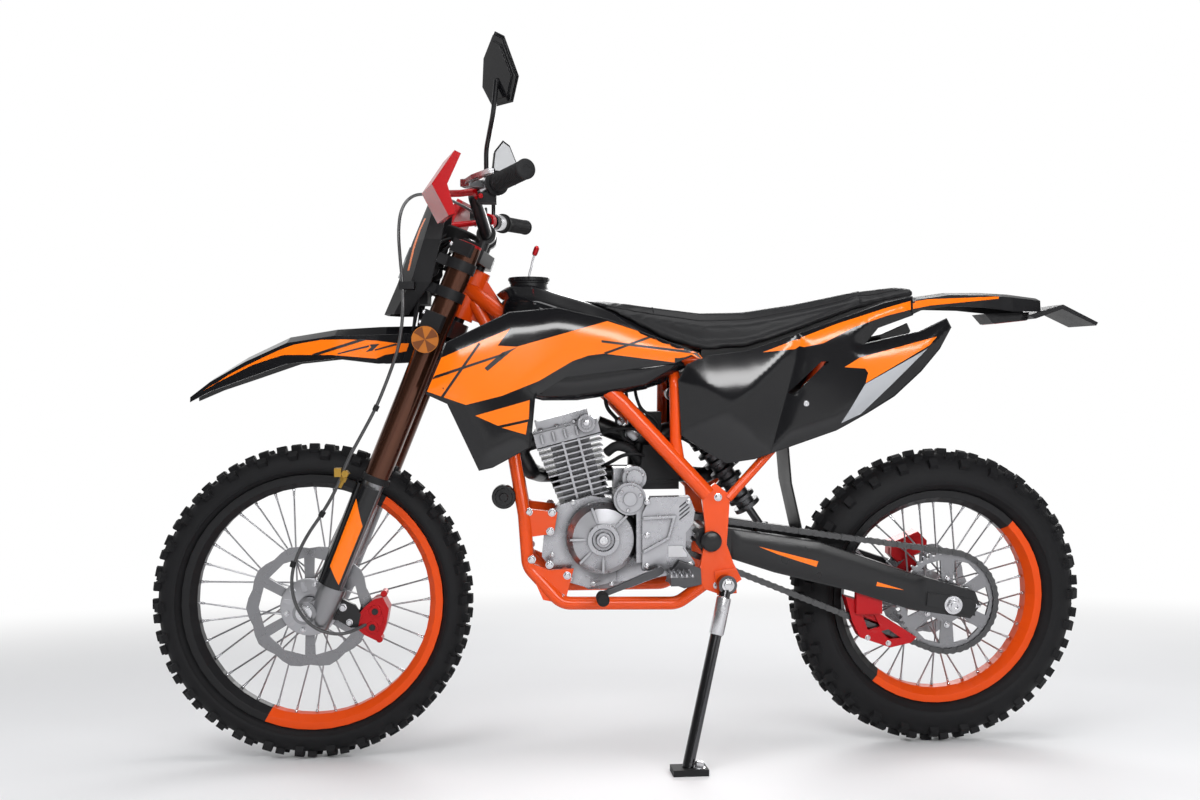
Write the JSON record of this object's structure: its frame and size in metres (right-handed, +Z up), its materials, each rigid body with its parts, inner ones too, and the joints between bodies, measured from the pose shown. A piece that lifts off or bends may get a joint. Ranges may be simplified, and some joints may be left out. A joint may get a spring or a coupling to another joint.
{
  "type": "dirt bike",
  "caption": "Off-road motorcycle with knobbly tyres, an upside-down fork, an air-cooled single in a tube frame, a chain drive and a side stand.",
  "frame": {"origin": "the middle of the outline, on the ground", "axes": "+X to the rear of the bike, +Y to the rider's right, +Z up; the bike leans to -Y on its side stand"},
  "size_m": [2.0988, 0.8468, 1.4654],
  "materials": {
    "alloy": "satin",
    "amber": "gloss",
    "black_metal": "satin",
    "black_plastic": "gloss",
    "bronze": "satin",
    "clear_lens": "gloss",
    "dark_steel": "satin",
    "matte_black": "matte",
    "orange_frame": "gloss",
    "orange_plastic": "gloss",
    "orange_rim": "gloss",
    "red_metal": "gloss",
    "red_plastic": "gloss",
    "rubber": "matte",
    "seat_cover": "satin",
    "steel": "satin",
    "tyre": "matte"
  },
  "bodies": {
    "chassis": {"head_tube": "orange_frame", "main_spars": "orange_frame", "swingarm": "black_metal", "shock_absorber": "black_metal", "rear_axle": "steel", "chain": "dark_steel", "crankcase": "alloy", "cradle": "orange_frame", "cylinder": "alloy", "cylinder_head": "alloy", "carburettor": "black_metal", "airbox": "matte_black", "exhaust": "black_metal", "fuel_tank": "black_plastic", "fuel_cap": "matte_black", "seat": "seat_cover", "shrouds": "orange_plastic", "rear_fender": "black_plastic", "tail_lamp": "matte_black", "subframe": "orange_frame", "side_panels": "black_plastic", "foot_controls": "steel", "rear_caliper": "red_metal", "chain_guide": "red_plastic"},
    "steering": {"fork_tubes": "bronze", "fork_legs": "dark_steel", "fork_guards": "black_plastic", "front_axle": "steel", "handlebar": "black_metal", "fork_clamps": "black_metal", "grips": "rubber", "levers": "alloy", "mirrors": "black_plastic", "hand_guards": "red_plastic", "headlight_mask": "black_plastic", "headlight": "clear_lens", "front_fender": "black_plastic", "front_caliper": "red_metal", "brake_hose": "rubber", "fork_reflectors": "amber"},
    "front_wheel": {"front_tyre": "tyre", "front_rim": "orange_rim", "front_hub": "alloy", "front_disc": "steel"},
    "rear_wheel": {"rear_tyre": "tyre", "rear_rim": "orange_rim", "rear_hub": "alloy", "rear_disc": "steel", "rear_sprocket": "steel"},
    "side_stand": {"side_stand": "steel"}
  },
  "joints": [
    {"name": "steering_head", "type": "hinge", "parent": "chassis", "child": "steering", "pos_m": [-0.36505, 0.02732, 1.01011], "axis": [0.3746, -0.129, 0.9182], "range_deg": [-42, 42]},
    {"name": "front_wheel_spin", "type": "hinge", "parent": "steering", "child": "front_wheel", "pos_m": [-0.70256, 0.12092, 0.34411], "axis": [0, 0.9903, 0.1392], "continuous": true},
    {"name": "rear_wheel_spin", "type": "hinge", "parent": "chassis", "child": "rear_wheel", "pos_m": [0.69744, 0.12231, 0.33421], "axis": [0, 0.9903, 0.1392], "continuous": true},
    {"name": "side_stand_hinge", "type": "hinge", "parent": "chassis", "child": "side_stand", "pos_m": [0.18644, -0.03323, 0.37395], "axis": [0.0791, -0.9944, -0.0705], "range_deg": [0, 114.4]}
  ]
}
